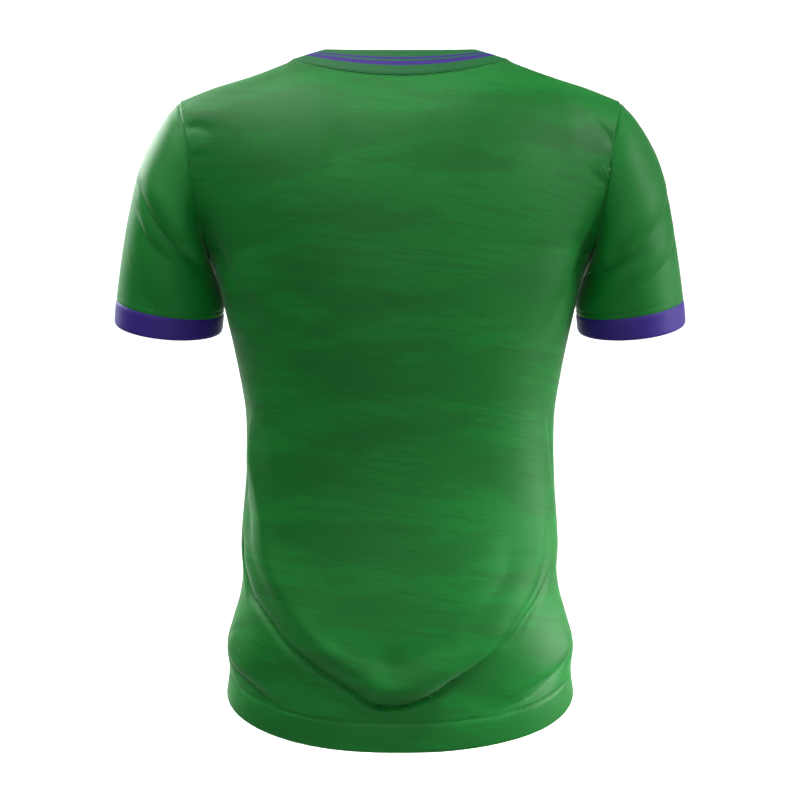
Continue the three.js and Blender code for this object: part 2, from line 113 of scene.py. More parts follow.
bodyFolds = [
    # the large drag fold that swings round over the hem behind
    crease("back", 6, 9.5, 3, 4, 1.15, [(155, 458), (155, 485), (154, 504), (151, 518), (144, 534),
        (133, 546), (119, 560), (105, 575), (90, 585), (78, 594), (64, 602), (49, 610), (31, 623),
        (20, 627), (4, 628), (-14, 624), (-31, 617), (-49, 605), (-67, 594), (-82, 583), (-93, 574),
        (-108, 564), (-120, 549), (-131, 536), (-142, 520), (-149, 505), (-152, 482)], [0, 0.35, 0.8, 1,
        1, 1, 1, 1, 0.95, 0.9, 0.85, 0.85, 0.9, 1, 1.05, 1.05, 1, 0.85, 0.65, 0.5, 0.45, 0.42, 0.42,
        0.4, 0.35, 0.2, 0], lipAt=[26, 28, 32, 33, 33, 31, 28, 26, 25, 24, 21, 19, 18, 17, 17, 17, 16,
        14, 10, 8, 7, 7, 7, 6, 6, 6, 6], rim=2, rimAt=6),
    crease("back", 1.8, 0, 5, 9, 1.6, [(86, 599), (63, 613), (44, 627), (29, 634), (4, 637), (-20, 632),
        (-38, 622)], [0, 0.6, 1, 1, 1, 0.8, 0]),
    # the crease just above it on the right, and the soft swells beside that
    crease("back", 3, 4.6, 4, 4, 1.25, [(-42, 598), (-55, 591), (-66, 585), (-79, 578), (-94, 568),
        (-105, 556), (-118, 541), (-131, 525), (-139, 506), (-143, 479), (-145, 451), (-146, 422)], [0,
        0.5, 0.85, 1, 1, 1, 1, 0.9, 0.7, 0.5, 0.3, 0], lipAt=[16, 17, 18, 18, 18, 17, 16, 14, 12, 10, 9,
        8]),
    crease("back", 1.9, 0.6, 13, 9, 1.8, [(-110, 446), (-107, 470), (-104, 493), (-100, 511),
        (-90, 525), (-76, 542), (-61, 556), (-50, 572)], [0, 0.15, 0.4, 0.8, 1, 1, 0.7, 0], lipAt=22),
    # the ridge above it on the left
    crease("back", -3.4, 0, 9, 12, 1.5, [(149, 352), (148, 379), (146, 401), (142, 418), (134, 449),
        (126, 478), (119, 504), (109, 525), (99, 542), (81, 561), (64, 577), (48, 588)], [0, 0.5, 0.8,
        1, 1, 1, 0.8, 0.5, 0.4, 0.4, 0.3, 0]),
    crease("back", 2.4, 0, 8, 13, 1.8, [(155, 400), (152, 440), (144, 480), (132, 512), (112, 545),
        (86, 572)], [0, 0.8, 1, 1, 0.7, 0]),
    crease("back", 2.6, 1, 15, 10, 1.8, [(92, 552), (71, 562), (49, 575), (29, 583), (0, 588),
        (-20, 582), (-39, 572), (-54, 560)], [0, 0.6, 0.9, 1, 1, 0.9, 0.6, 0], lipAt=27),
    # the low fold at the left and the roll at the right, just over the hem
    crease("back", 3.4, 5, 4, 5, 1.25, [(173, 568), (172, 583), (167, 600), (156, 611), (140, 618),
        (125, 627), (108, 634), (90, 640)], [0, 0.5, 0.9, 1, 1, 0.8, 0.4, 0], lipAt=13, rim=0.8,
        rimAt=5),
    crease("back", 4, 6, 4.5, 5, 1.25, [(-80, 636), (-96, 633), (-111, 627), (-132, 618), (-151, 608),
        (-164, 594), (-171, 578), (-172, 562)], [0, 0.3, 0.7, 1, 1.1, 1, 0.6, 0], lipAt=13),
    crease("back", 1.2, 0.6, 3, 3, 1.3, [(171, 581), (166, 575), (159, 569)], lipAt=6),
    crease("back", 1.2, 0.6, 3, 3, 1.3, [(-157, 563), (-164, 570), (-170, 578)], lipAt=6),
    # narrow upright creases at the sides of the waist
    crease("back", 1.5, 1.2, 5, 6, 1.6, [(149, 352), (150, 370), (151, 387), (151, 411), (153, 436),
        (155, 452)], [0, 0.8, 1, 1, 0.7, 0], lipAt=11),
    crease("back", 1.5, 1.2, 5, 6, 1.6, [(-156, 448), (-155, 430), (-150, 411), (-148, 391),
        (-146, 372), (-146, 352)], [0, 0.8, 1, 1, 0.8, 0], lipAt=11),
    # short pulls from the armholes over the shoulder blades
    crease("back", 1.7, 0.8, 6, 5, 1.6, [(208, 80), (203, 81), (196, 81), (187, 85), (172, 88)], [0.3,
        1, 1, 0.6, 0], lipAt=11),
    crease("back", 1, 0.9, 3, 3.5, 1.4, [(206, 106), (200, 106), (194, 108), (184, 110)], [0.3, 1, 0.8,
        0], lipAt=5),
    crease("back", 0.9, 0.5, 3.5, 3.5, 1.5, [(203, 130), (197, 132), (187, 135), (170, 133)], [0.2, 1,
        0.8, 0], lipAt=7),
    crease("back", 1.8, 0.9, 6, 5, 1.6, [(-178, 70), (-192, 80), (-200, 87), (-204, 94), (-209, 99)],
        [0, 0.7, 1, 1, 0.3], lipAt=11),
    crease("back", 0.9, 0.5, 4, 4, 1.5, [(-176, 124), (-188, 131), (-198, 136), (-205, 138)], [0, 0.7,
        1, 0.2], lipAt=8),
    # soft hollows between the shoulder blades and from the armpits
    crease("back", 1.8, 0, 15, 15, 2, [(58, 82), (50, 112), (44, 144)]),
    crease("back", 1.5, 0, 14, 14, 2, [(-34, 74), (-40, 108), (-38, 146)]),
    crease("back", 2.6, 1.2, 13, 13, 1.8, [(186, 184), (172, 214), (150, 252), (118, 300)], [1, 1, 0.8,
        0.3], lipAt=26),
    crease("back", 2.4, 1.2, 12, 12, 1.8, [(-120, 306), (-152, 258), (-172, 220), (-187, 188)], [0.3,
        0.8, 1, 1], lipAt=24),
    # the front: a lower drag fold, side folds, and pulls from the armpits
    crease("front", 5.5, 4.2, 11, 6, 1.35, [(-154, 494), (-150, 512), (-136, 538), (-110, 562),
        (-72, 584), (-40, 594), (-8, 598), (26, 590), (58, 572), (88, 548), (104, 526)], [0.4, 0.9, 1,
        0.95, 0.8, 0.9, 1, 0.9, 0.8, 0.6, 0.3], lipAt=23),
    crease("front", 3.6, 2.8, 8, 5, 1.3, [(12, 622), (44, 619), (78, 611), (110, 598), (142, 574),
        (158, 552), (162, 536)], [0.3, 0.7, 1, 1, 1, 0.8, 0.4], lipAt=15),
    crease("front", -2.4, 0, 9, 11, 1.5, [(-146, 384), (-140, 430), (-128, 476), (-108, 520),
        (-80, 552)], [0.3, 0.8, 1, 1, 0.4]),
    crease("front", -2.1, 0, 9, 9, 1.5, [(70, 566), (104, 520), (130, 470), (142, 424), (147, 380)],
        [0.4, 1, 1, 0.8, 0.3]),
    crease("front", 2.8, 2, 9, 7, 1.4, [(84, 262), (112, 248), (140, 226), (166, 194)], [0.2, 0.7, 1,
        1], lipAt=18),
    crease("front", 2.4, 1.6, 9, 7, 1.4, [(-168, 190), (-146, 218), (-118, 246), (-90, 268)], [1, 1,
        0.7, 0.2], lipAt=18),
    crease("front", 2, 1, 6, 5, 1.4, [(-206, 118), (-194, 130), (-178, 138)], [1, 0.8, 0.2], lipAt=10),
    crease("front", 1.8, 1, 6, 5, 1.4, [(176, 132), (194, 124), (206, 112)], [0.2, 0.8, 1], lipAt=10),
    crease("front", 1.8, 0, 16, 16, 2, [(-52, 148), (-20, 166), (16, 168), (50, 152)]),
    crease("front", 2.6, 2, 5, 4.5, 1.3, [(-168, 566), (-160, 590), (-142, 606), (-116, 617)], [0.5, 1,
        1, 0.3], lipAt=10),
]
sleeveFolds = {
    "left": [
        crease("back", 4.2, 4.6, 3.5, 11, 1.25, [(266, 116), (257, 131), (253, 141), (247, 153),
            (238, 167), (230, 180), (220, 193), (209, 203), (201, 210), (194, 214)], [0, 0.3, 0.6, 0.9,
            1, 1, 1, 1, 1, 0.8], lipAt=14),
        crease("back", 2, 2.8, 4, 9, 1.4, [(268, 132), (263, 150), (257, 163), (254, 174), (249, 185),
            (240, 195), (228, 205), (217, 214), (206, 225)], [0, 0.5, 1, 1, 1, 0.9, 0.7, 0.4, 0],
            lipAt=11),
        crease("back", 1.1, 1.2, 8, 8, 1.7, [(262, 222), (258, 231), (254, 239), (249, 248), (237, 258),
            (224, 265)], [0, 0.7, 1, 1, 0.6, 0], lipAt=15),
        crease("front", 3.2, 3.2, 5, 5, 1.3, [(198, 204), (216, 190), (236, 168), (250, 140),
            (257, 116)], [0.8, 1, 1, 0.7, 0], lipAt=14),
        crease("front", 2, 2, 7, 6, 1.5, [(212, 228), (236, 212), (256, 188), (268, 160)], [0.3, 1, 0.8,
            0], lipAt=14),
    ],
    "right": [
        crease("back", 4.4, 4.8, 3.5, 8, 1.25, [(-195, 217), (-205, 215), (-213, 210), (-225, 201),
            (-236, 190), (-248, 178), (-258, 165), (-264, 151), (-268, 136), (-270, 118)], [0.8, 1, 1,
            1, 1, 1, 0.9, 0.7, 0.35, 0], lipAt=14),
        crease("back", 2.8, 3.2, 4, 6, 1.35, [(-202, 256), (-215, 247), (-229, 235), (-243, 227),
            (-254, 216), (-265, 204), (-274, 190), (-278, 176), (-278, 162)], [0, 0.5, 0.9, 1, 1, 1,
            0.7, 0.3, 0], lipAt=12),
        crease("front", 2.8, 2.8, 5, 5, 1.3, [(-260, 108), (-252, 134), (-240, 158), (-224, 178),
            (-204, 196)], [0, 0.7, 1, 1, 0.8], lipAt=14),
        crease("front", 2.2, 2, 7, 6, 1.5, [(-276, 176), (-262, 206), (-242, 228), (-218, 242)], [0, 1,
            0.9, 0.3], lipAt=14),
    ],
}


def hermite(start, startSlope, end, endSlope, t):
    t2 = t * t
    t3 = t2 * t
    return ((2 * t3 - 3 * t2 + 1) * start + (t3 - 2 * t2 + t) * startSlope
            + (3 * t2 - 2 * t3) * end + (t3 - t2) * endSlope)


def smoothstep(low, high, value):
    t = np.clip((value - low) / (high - low), 0, 1)
    return t * t * (3 - 2 * t)


def lerp(start, end, t):
    return start + (end - start) * t


def smoothAt(rows, column, at):  # a column of a table, on a smooth curve between its rows
    table = np.array(rows, float)
    keys, values = table[:, 0], table[:, column]
    low = np.clip(np.arange(len(keys)) - 1, 0, None)
    high = np.clip(np.arange(len(keys)) + 1, None, len(keys) - 1)
    slopes = (values[high] - values[low]) / (keys[high] - keys[low])
    i = np.clip(np.searchsorted(keys, at, side="left") - 1, 0, len(keys) - 2)
    span = keys[i + 1] - keys[i]
    t = (at - keys[i]) / span
    return hermite(values[i], slopes[i] * span, values[i + 1], slopes[i + 1] * span, t)


def point(x, y, z):
    x, y, z = np.broadcast_arrays(np.asarray(x, float), y, z)
    return np.stack([x, y, z], axis=-1)


def ovalPoint(oval, isBack, fromCentre):  # fromCentre is 0 at the centre line, 1 at the side
    halfWidth, sideY, sideZ, back, front = oval
    reach, fall, power = back if isBack else front
    angle = fromCentre * math.pi / 2
    inward = np.clip(np.cos(angle), 0, 1)
    return point(halfWidth * np.sin(angle), sideY + (1 if isBack else -1) * reach * inward,
                 sideZ - fall * inward ** power)


def sleevePoint(way, turn):  # turn is 0 on top and pi under the arm, plus behind, minus in front
    way, turn = np.broadcast_arrays(np.asarray(way, float), np.asarray(turn, float))
    outX, outZ, inX, inZ, back, front, bow, tilt, shift = (
        smoothAt(sleeve["rings"], column, way) for column in range(1, 10))
    cos, sin = np.cos(turn), np.sin(turn)
    return point((outX + inX) / 2 + (outX - inX) / 2 * cos - bow * sin * sin,
                 np.where(sin > 0, back, front) * sin + shift,
                 (outZ + inZ) / 2 + (outZ - inZ) / 2 * cos - tilt * sin)


def armholeTurn(isBack, down):  # down is 0 at the shoulder seam and 1 at the armpit
    return lerp(sleeve["seamTurn"], math.pi if isBack else -math.pi, down)


def bodyPoint(isBack, side, down):  # side is 0 at the centre line and 1 at the side seam
    side, down = np.broadcast_arrays(np.asarray(side, float), np.asarray(down, float))
    angle = side * math.pi / 2
    power = 2 / body["squareness"]
    cos = np.clip(np.cos(angle), 0, 1)
    fall = body["hemBackFall"] if isBack else body["hemFrontFall"]
    hemDrop = body["hemSideDrop"] + fall * cos ** body["hemRoundness"]
    drop = body["armpitDrop"] + (hemDrop - body["armpitDrop"]) * down
    depth = smoothAt(body["sections"], 2 if isBack else 3, drop)
    flare = body["armpitFlare"] * np.exp((body["armpitDrop"] - drop) / body["armpitFade"]) * side ** 6
    return point(smoothAt(body["sections"], 1, drop) * np.sin(angle) ** power + flare,
                 (1 if isBack else -1) * depth * cos ** power, -drop)


neckShare = detail["neckColumns"] / (detail["neckColumns"] + detail["shoulderColumns"])


def panelTop(isBack, side):  # the collar's seam, then the shoulder seam
    side = np.asarray(side, float)
    atNeck = ovalPoint(collar["seam"], isBack, np.clip(side / neckShare, 0, 1))
    out = np.clip((side - neckShare) / (1 - neckShare), 0, None)
    across = lerp(collar["seam"][0], body["shoulder"][-1][0], out)
    height = smoothAt(body["shoulder"], 1, across)
    tip = sleevePoint(0, sleeve["seamTurn"])
    atTip = smoothstep(0.8, 1, out)
    atShoulder = point(lerp(across, tip[0], atTip), lerp(collar["seam"][1], tip[1], out),
                       lerp(height, tip[2], atTip))
    return np.where((side <= neckShare)[..., None], atNeck, atShoulder)


def easedTop(isBack, side):  # the top edge with its corner at the collar rounded off
    reach, samples = 0.16, 9
    eased = 0
    for k in range(samples):
        at = side + reach * (2 * k / (samples - 1) - 1)
        edge = panelTop(isBack, np.minimum(np.abs(at), 2 - np.abs(at)))
        edge[..., 0] = np.where(at < 0, -edge[..., 0], edge[..., 0])
        beyond = 2 * panelTop(isBack, np.ones_like(at)) - edge
        eased = eased + np.where((at > 1)[..., None], beyond, edge) / samples
    return eased


def yokePoint(isBack, side, up):  # between the armpit's level (0) and the top edge (1)
    sign = 1 if isBack else -1
    startLean, endLean, endLeanAtCentre, endRiseAtCentre = (
        body["backLeans"] if isBack else body["frontLeans"])
    low = bodyPoint(isBack, side, 0)
    rise = low - bodyPoint(isBack, side, 0.01)
    rise = rise / rise[..., 2:]
    high = easedTop(isBack, side)
    height = high[..., 2] - low[..., 2]
    atArmhole = smoothstep(0.6, 1, side)
    atCentre = 1 - smoothstep(0, 0.6, side)
    lowRise = height * (body["startRise"] + body["startRiseAtSide"] * side) * (1 - atArmhole)
    lowLean = sign * startLean * side ** 3
    highLean = sign * lerp(endLean, endLeanAtCentre, atCentre)
    highRise = lerp(sign * body["seamRise"], height * endRiseAtCentre, atCentre)
    drawn = point(
        hermite(low[..., 0], rise[..., 0] * lowRise, high[..., 0], body["tipSpread"] * side, up),
        hermite(low[..., 1], rise[..., 1] * lowRise + lowLean, high[..., 1], -highLean, up),
        hermite(low[..., 2], lowRise, high[..., 2], highRise, up))
    drawn = drawn + (panelTop(isBack, side) - high) * (up ** 5)[..., None]
    seam = sleevePoint(0, armholeTurn(isBack, 1 - up))
    return lerp(drawn, seam, (smoothstep(0.5, 1, side) ** 3)[..., None])


def panelGrid(isBack):  # rows from the top edge down to the hem, columns from left to right seen
    finer = detail["finer"]
    half = (detail["neckColumns"] + detail["shoulderColumns"]) * finer
    columns = np.arange(-half, half + 1)
    yokeRows, bodyRows = detail["yokeRows"] * finer, detail["bodyRows"] * finer
    side = np.abs(columns)[None, :] / half + np.zeros((yokeRows + bodyRows + 1, 1))
    up = (1 - np.arange(yokeRows) / yokeRows)[:, None] + np.zeros((1, len(columns)))
    down = 1 - (1 - np.arange(bodyRows + 1) / bodyRows) ** body["hemCrowding"]
    grid = np.concatenate([yokePoint(isBack, side[:yokeRows], up),
                           bodyPoint(isBack, side[yokeRows:], down[:, None])])
    grid[..., 0] *= np.where(columns < 0, -1, 1)
    return grid[:, ::-1] if isBack else grid


def tubeGrid(start, end, rows, isLeft):  # rings that match the armhole's points
    around = detail["yokeRows"] * detail["finer"]
    share = np.arange(around) / around
    turns = np.concatenate([armholeTurn(True, share), armholeTurn(False, 1 - share)])
    way = lerp(start, end, np.arange(rows + 1) / rows)
    grid = sleevePoint(way[:, None], turns[None, :])
    if not isLeft:
        grid = grid * np.array([-1, 1, 1])
    return grid if isLeft else grid[:, ::-1]


def collarGrid():
    quarter = detail["neckColumns"] * detail["collarFiner"]
    columns = np.arange(-quarter, quarter)
    rows = detail["collarRows"]
    up = 1 - np.arange(rows + 1)[:, None] / rows
    halves = []
    for isBack, order in ((True, columns[::-1] + 1), (False, columns)):
        fromCentre = np.abs(order)[None, :] / quarter
        low = ovalPoint(collar["seam"], isBack, fromCentre)
        high = ovalPoint(collar["top"], isBack, fromCentre)
        drawn = lerp(low, high, up[..., None])
        drawn[..., 2] += collar["bulge"] * np.sin(math.pi * up)
        drawn[..., 0] *= np.where(order < 0, -1, 1)
        halves.append(drawn)
    return np.concatenate(halves, axis=1)


def outwardOf(grid, closed):  # unit normals of a grid whose columns run to the right as seen
    if closed:
        across = np.roll(grid, -1, axis=1) - np.roll(grid, 1, axis=1)
    else:
        across = np.gradient(grid, axis=1)
    downward = np.gradient(grid, axis=0)
    normal = np.cross(downward, across)
    return normal / np.maximum(np.linalg.norm(normal, axis=-1, keepdims=True), 1e-9)


def alongRows(grid):  # distance travelled along each row, from its first column
    steps = np.linalg.norm(np.diff(grid, axis=1), axis=-1)
    return np.concatenate([np.zeros((len(grid), 1)), np.cumsum(steps, axis=1)], axis=1)


def alongColumns(grid):
    return alongRows(grid.transpose(1, 0, 2)).T


def onSurface(spot, isBack, points, normals):  # the place on the cloth seen at (across, drop)
    leastFacing, tooFar = 0.25, 1e6
    facing = normals[:, 1] > leastFacing if isBack else normals[:, 1] < -leastFacing
    miss = (points[:, 0] - spot[0]) ** 2 + (points[:, 2] + spot[1]) ** 2 + np.where(facing, 0, tooFar)
    nearest = np.argmin(miss)
    return np.array([spot[0], points[nearest, 1], -spot[1]]), normals[nearest]


def throughPoints(values, count):  # a smooth curve through the given values
    values = np.asarray(values, float)
    padded = np.concatenate([2 * values[:1] - values[1:2], values, 2 * values[-1:] - values[-2:-1]])
    at = np.linspace(0, len(values) - 1, count)
    i = np.clip(at.astype(int), 0, len(values) - 2)
    t = (at - i)[:, None]
    a, b, c, d = padded[i], padded[i + 1], padded[i + 2], padded[i + 3]
    return 0.5 * (2 * b + (c - a) * t + (2 * a - 5 * b + 4 * c - d) * t ** 2
                  + (3 * b - a - 3 * c + d) * t ** 3)


# How a fold is worked out: samples for each of its points, the share of its length over which an
# end fades, its reach in widths and in lips, and how widely its strength is shared out along it
foldDetail = {
    "samples": 14, "fade": 0.07, "reach": 3, "lipReach": 3.2, "sharing": 2, "sharingOut": 0.22,
}


def foldHeights(points, folds, cloth):  # how far each point moves outward
    clothPoints, clothNormals = cloth
    heights = np.zeros(len(points))
    for fold in folds:
        spots = [onSurface(spot, fold["face"] == "back", clothPoints, clothNormals)
                 for spot in fold["points"]]
        count = foldDetail["samples"] * len(spots)
        places = np.array([spot[0] for spot in spots])
        for _ in range(2):                   # even out the depth, which is uncertain at the sides
            places[1:-1, 1] = (places[:-2, 1] + 2 * places[1:-1, 1] + places[2:, 1]) / 4
        line = throughPoints(places, count)
        outward = throughPoints([spot[1] for spot in spots], count)
        strength = throughPoints(np.array(fold["strength"])[:, None], count)[:, 0]
        ends = np.minimum(np.arange(count), np.arange(count)[::-1]) / count
        strength = strength * smoothstep(0, foldDetail["fade"], ends)
        crest = throughPoints((np.ones(len(spots)) * fold["lipAt"])[:, None], count)[:, 0]
        reach = (foldDetail["reach"] * max(fold["above"], fold["below"])
                 + foldDetail["lipReach"] * crest.max())
        near = np.all((points > line.min(0) - reach) & (points < line.max(0) + reach), axis=1)
        chosen = np.flatnonzero(near)
        if not len(chosen):
            continue
        here = points[chosen]
        gaps = ((here ** 2).sum(1)[:, None] + (line ** 2).sum(1)[None, :] - 2 * here @ line.T)
        closest = np.argmin(gaps, axis=1)
        # strength and crest are shared out along the line, more widely farther from it
        gaps = np.sqrt(np.maximum(gaps, 0)).astype(np.float32)
        least = gaps.min(axis=1, keepdims=True)
        share = np.exp((least - gaps) / (foldDetail["sharing"] + foldDetail["sharingOut"] * least))
        share /= share.sum(axis=1, keepdims=True)
        strengthHere, crestHere = share @ strength, share @ crest
        tangent = np.gradient(line, axis=0)
        rightward = np.cross(tangent, outward)
        rightward /= np.linalg.norm(rightward, axis=1, keepdims=True)
        away = here - line[closest]
        # beside the line, so that its samples don't show
        forward = tangent / np.linalg.norm(tangent, axis=1, keepdims=True)
        lengthwise = (away * forward[closest]).sum(1)
        inner = (closest > 0) & (closest < count - 1)
        distance = np.linalg.norm(away, axis=1)
        distance = np.where(inner, np.sqrt(np.maximum(distance ** 2 - lengthwise ** 2, 0)), distance)
        signed = distance * np.sign((away * rightward[closest]).sum(1))
        width = np.where(signed < 0, fold["above"], fold["below"])
        height = -fold["depth"] * np.exp(-(np.abs(signed) / width) ** fold["sharp"])
        up = np.clip(-signed, 0, None) / crestHere
        height += fold["lip"] * up * np.exp((1 - up ** 2) / 2)
        down = np.clip(signed, 0, None) / fold["rimAt"]
        height += fold["rim"] * down * np.exp((1 - down ** 2) / 2)
        heights[chosen] += height * strengthHere
    return heights


def wander(t):  # an uneven wave of about 1 high, for puckers along a seam
    return (np.sin(t / 1.35 + 2 * np.sin(t / 11.3)) * (0.55 + 0.45 * np.sin(t / 17.9 + 1))
            + 0.35 * np.sin(t / 2.9 + 0.7))


def softWaves(points):  # the faint unevenness of hanging cloth
    x, y, z = points[..., 0], points[..., 1], points[..., 2]
    return (0.45 * np.sin(x / 31 + z / 57 + 1.3 * np.sin(z / 73)) + 0.4 * np.sin(y / 23 - z / 41 + 2)
            + 0.3 * np.sin(x / 19 - z / 37 + 0.5 + y / 29))


# The soft unevenness of the cloth, as shares of its height
waveShare = {"yoke": 0.7, "body": 1, "sleeve": 0.8}

# How far in from an edge the creases have their full height, and the soft waves from a panel's top
fullFrom = {"top": 6, "side": 5, "wavesTop": 30, "sleeveTop": 7, "cuff": 12}

# Ridges and grooves along a piece's edges: how far in, how high and how wide
edgeForms = {
    "seam": (0, -0.9, 1.5), "softSeam": (0, -0.6, 1.3),    # an edge rolls under at its seam
    "sideAllowance": (3.6, 0.3, 1.7), "topRoll": (1.9, 0.28, 0.9), "topStitches": (3.3, -0.3, 0.8),
    "hemStitches": (body["hemBand"], -1.1, 1.2), "hemEdge": (0, -0.5, 1.2),
    "sleeveAllowance": (3.4, 0.25, 1.6), "sleeveStitches": (sleeve["stitchAboveCuff"], -0.6, 1),
    "cuffEdge": (0, -0.7, 1.3),
    "collarEdge": (0, -1, 1.5), "collarSeam": (0, -0.45, 1.4), "collarRoll": (2.8, 0.35, 1.1),
}


def edge(distance, name):
    at, height, width = edgeForms[name]
    return height * np.exp(-((distance - at) / width) ** 2)


def puckers(distance, way, height, fade):  # small waves along a seam, dying out away from it
    return height * np.exp(-distance / fade) * wander(way)


def addObject(name, data):
    added = bpy.data.objects.new(name, data)
    bpy.context.collection.objects.link(added)
    return added


def shell(name, outer, thickness, layouts, material):  # a closed wall, coarser inside
    cloths[name]["outer"] = outer
    closed, every = cloths[name]["closed"], detail["innerEvery"]
    inner = (outer - cloths[name]["outward"] * thickness[..., None])[::every, ::every]
    rows, width = outer.shape[:2]
    innerRows, innerWidth = inner.shape[:2]
    vertices = np.concatenate([outer.reshape(-1, 3), inner.reshape(-1, 3)]) * millimetre
    start = rows * width

    def fine(row, column):
        return row * width + column % width

    def coarse(row, column):
        return start + row * innerWidth + column % innerWidth

    faces = []
    for columnCount, rowCount, at, isOuter in (
            (width if closed else width - 1, rows - 1, fine, True),
            (innerWidth if closed else innerWidth - 1, innerRows - 1, coarse, False)):
        column, row = np.meshgrid(np.arange(columnCount), np.arange(rowCount))
        column, row = column.ravel(), row.ravel()
        corners = [at(row, column), at(row + 1, column), at(row + 1, column + 1), at(row, column + 1)]
        faces += np.stack(corners if isOuter else corners[::-1], axis=1).tolist()
    for column in range(innerWidth if closed else innerWidth - 1):
        steps = range(every * column, every * column + every + 1)
        faces.append([fine(0, c) for c in steps] + [coarse(0, column + 1), coarse(0, column)])
        faces.append([fine(rows - 1, c) for c in reversed(steps)]
                     + [coarse(innerRows - 1, column), coarse(innerRows - 1, column + 1)])
    if not closed:
        for row in range(innerRows - 1):
            steps = range(every * row, every * row + every + 1)
            faces.append([fine(r, 0) for r in reversed(steps)] + [coarse(row, 0), coarse(row + 1, 0)])
            faces.append([fine(r, width - 1) for r in steps]
                         + [coarse(row + 1, innerWidth - 1), coarse(row, innerWidth - 1)])
    mesh = bpy.data.meshes.new(name)
    mesh.from_pydata(vertices.tolist(), [], faces)
    loops = np.zeros(len(mesh.loops), dtype=np.int32)
    mesh.loops.foreach_get("vertex_index", loops)
    for layout, uv in layouts.items():
        spread = np.concatenate([uv.reshape(-1, 2), uv[::every, ::every].reshape(-1, 2)]) * millimetre
        layer = mesh.uv_layers.new(name=layout)
        layer.data.foreach_set("uv", spread[loops].astype(np.float32).ravel())
    mesh.polygons.foreach_set("use_smooth", np.ones(len(mesh.polygons), dtype=bool))
    mesh.set_sharp_from_angle(angle=math.radians(62))
    mesh.update()
    mesh.materials.append(material)
    return addObject(name, mesh)


# Materials. addNode makes a node with its settings, and with links or values at its inputs.
def addNode(tree, kind, settings=(), inputs=()):
    node = tree.nodes.new(kind)
    for name, value in dict(settings).items():
        setattr(node, name, value)
    for name, value in dict(inputs).items():
        if isinstance(value, bpy.types.NodeSocket):
            tree.links.new(value, node.inputs[name])
        else:
            node.inputs[name].default_value = value
    return node


def linearColour(hexCode):  # an sRGB hex value as the linear colour that the shader takes
    channels = [int(hexCode[i:i + 2], 16) / 255 for i in (0, 2, 4)]
    return [c / 12.92 if c <= 0.04045 else ((c + 0.055) / 1.055) ** 2.4 for c in channels] + [1]


knit = {
    # a real interlock's wales are about 0.8 mm apart: drawn 2.2 mm apart, so that they show
    # loopShade is painted shade and painted highlight: how much darker the hollows between the loops
    # and how much lighter their tops are coloured
    "wale": 2.2, "course": 1.9, "relief": 0.00006, "bump": 0.6, "loopShade": 0.035,
    "green": "048029", "greenDeep": "037926", "print": "056C1F", "printDeep": "04651C",
    "purple": "3F2793", "purpleDeep": "361F86",
    "courseShare": 0.8,      # how strong the rows are beside the upright ribs
    "roughness": 0.58, "specular": 0.33, "sheen": 0.2, "sheenRoughness": 0.35, "sheenTint": "C8E2CF",
}
tonalPrint = {
    # streaks: their length, height and slant, the noise's levels where they start, their strength
    # and the noise's seed
    "layers": [
        (170, 34, 9, 0.5, 0.545, 0.55, 3.1),
        (150, 26, -11, 0.53, 0.575, 0.5, 8.7),
        (120, 7, -7, 0.57, 0.6, 0.5, 5.3),
    ],
    "bristles": (20, 1.4, -9), "fringe": 0.3,    # the fine lines that fringe the streaks' edges
}
ribKnit = {"green": "1A7539", "greenDeep": "0F5E2A", "stripe": "3B2186", "roughness": 0.66,
           "thin": (0.33, 0.42), "thick": (0.485, 0.66),   # the stripes' shares of the band's height
           "stripeSoftness": 8}
thread = {"green": "1B7038", "roughness": 0.5, "twist": 900, "pitch": 3.3, "length": 2.6, "width": 0.5,
          "lift": 0.12, "clearColumns": 3}    # columns without a stitch beside an armhole


def startMaterial(name, roughness, sheen):
    material = bpy.data.materials.new(name)
    material.use_nodes = True
    tree = material.node_tree
    tree.nodes.clear()
    shader = addNode(tree, "ShaderNodeBsdfPrincipled", (), {
        "Roughness": roughness, "IOR": 1.5, "Specular IOR Level": knit["specular"],
        "Sheen Weight": sheen, "Sheen Roughness": knit["sheenRoughness"],
        "Sheen Tint": linearColour(knit["sheenTint"])})
    addNode(tree, "ShaderNodeOutputMaterial", (), {"Surface": shader.outputs[0]})
    return material, tree, shader


def clothPlace(tree, layout="cloth"):  # the cloth's own place in millimetres, across and up
    place = addNode(tree, "ShaderNodeUVMap", {"uv_map": layout})
    return addNode(tree, "ShaderNodeVectorMath", {"operation": "SCALE"},
                   {0: place.outputs[0], "Scale": 1 / millimetre}).outputs[0]


def calculate(tree, operation, *values):
    return addNode(tree, "ShaderNodeMath", {"operation": operation}, enumerate(values)).outputs[0]


def mapRange(tree, value, start, end, startsAt=0, endsAt=1, kind="LINEAR"):
    return addNode(tree, "ShaderNodeMapRange", {"interpolation_type": kind}, {
        "Value": value, "From Min": start, "From Max": end,
        "To Min": startsAt, "To Max": endsAt}).outputs[0]


def noise(tree, place, seed, scale, octaves, roughness=0.5, distortion=0):
    return addNode(tree, "ShaderNodeTexNoise", {"noise_dimensions": "4D"}, {
        "Vector": place, "W": seed, "Scale": scale, "Detail": octaves, "Roughness": roughness,
        "Distortion": distortion}).outputs[0]


def drawnOut(tree, place, length, height, slant):  # a place on which noise makes long streaks
    return addNode(tree, "ShaderNodeMapping", {"vector_type": "TEXTURE"}, {
        "Vector": place, "Rotation": (0, 0, math.radians(slant)),
        "Scale": (length, height, 1)}).outputs[0]


